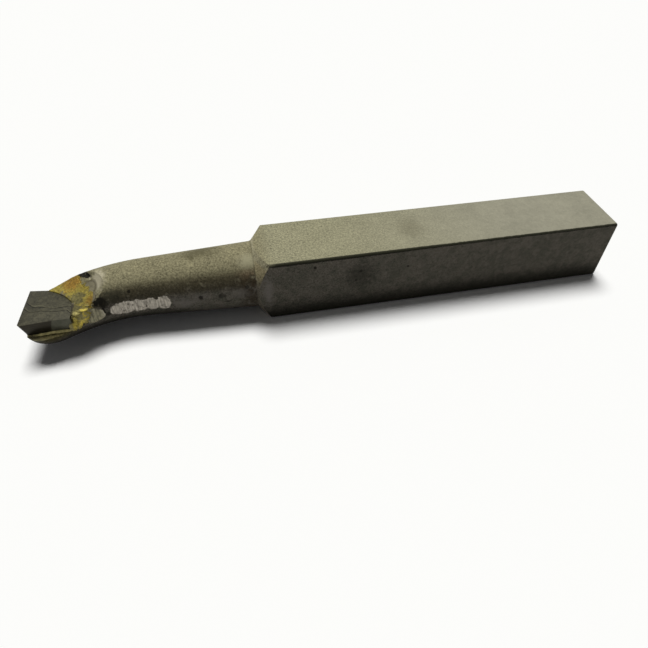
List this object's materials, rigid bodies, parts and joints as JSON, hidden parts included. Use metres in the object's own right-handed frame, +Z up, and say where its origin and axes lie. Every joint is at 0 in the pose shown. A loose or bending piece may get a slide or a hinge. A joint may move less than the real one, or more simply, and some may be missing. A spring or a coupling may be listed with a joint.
{
  "type": "boring tool",
  "caption": "Boring tool with a square shank, a turned shoulder, a cranked round neck and a carbide tip brazed into a seat on the nose.",
  "frame": {"origin": "centre of the shank's bottom face", "axes": "+X along the shank towards its back end, the cutting corner is at the -X end towards -Y, +Z up, square to the bottom face that rests on the tool post"},
  "size_m": [0.1393, 0.02, 0.016],
  "materials": {
    "tool_steel": "blasted dark steel with traces of rust",
    "carbide": "sintered top, ground flanks",
    "brass_filler": "dull, rough"
  },
  "bodies": {
    "root": {"holder": "tool_steel", "carbide_tip": "carbide", "braze": "brass_filler"}
  },
  "joints": []
}
